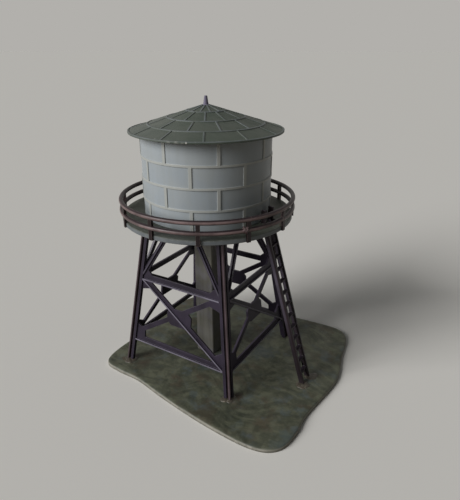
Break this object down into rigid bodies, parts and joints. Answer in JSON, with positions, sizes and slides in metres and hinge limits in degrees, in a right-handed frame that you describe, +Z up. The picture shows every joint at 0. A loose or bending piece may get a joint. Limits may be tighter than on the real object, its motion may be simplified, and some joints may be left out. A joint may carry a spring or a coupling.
{
  "type": "model water tower",
  "caption": "Model railway water tower: a plated round tank under a conical roof on a braced, leaning-legged tower, with a railed deck, boxed riser, ladder and ground plate.",
  "frame": {"origin": "on the tower's axis, at the underside of the ground plate", "axes": "+Z up the tower's axis, +X towards the ladder, -Y is the front side frame"},
  "size_m": [0.1291, 0.1187, 0.1523],
  "materials": {
    "ground": "painted moulded polystyrene, mottled grey-green with brown patches",
    "ironwork": "moulded polystyrene, dark brown-purple with a dull sheen",
    "casing": "moulded polystyrene, grey-green with olive edges",
    "deck": "moulded polystyrene, dark grey-green",
    "railing": "moulded polystyrene, dark brown with a dull sheen",
    "tank": "moulded polystyrene, light grey",
    "roof": "moulded polystyrene, dark grey-green with lighter ribs",
    "finial": "moulded polystyrene, dark purple-grey"
  },
  "bodies": {
    "tower": {"ground_plate": "ground", "leg_front_right": "ironwork", "leg_front_left": "ironwork", "leg_back_right": "ironwork", "leg_back_left": "ironwork", "side_frame_front": "ironwork", "side_frame_right": "ironwork", "side_frame_back": "ironwork", "side_frame_left": "ironwork", "riser_casing": "casing", "deck": "deck", "railing_front": "railing", "railing_back": "railing", "tank_shell": "tank", "ladder": "ironwork"},
    "roof_cap": {"roof": "roof", "finial": "finial"}
  },
  "joints": [
    {"name": "roof_lift", "type": "slide", "parent": "tower", "child": "roof_cap", "axis": [0, 0, 1], "range_m": [0, 0.05]}
  ]
}
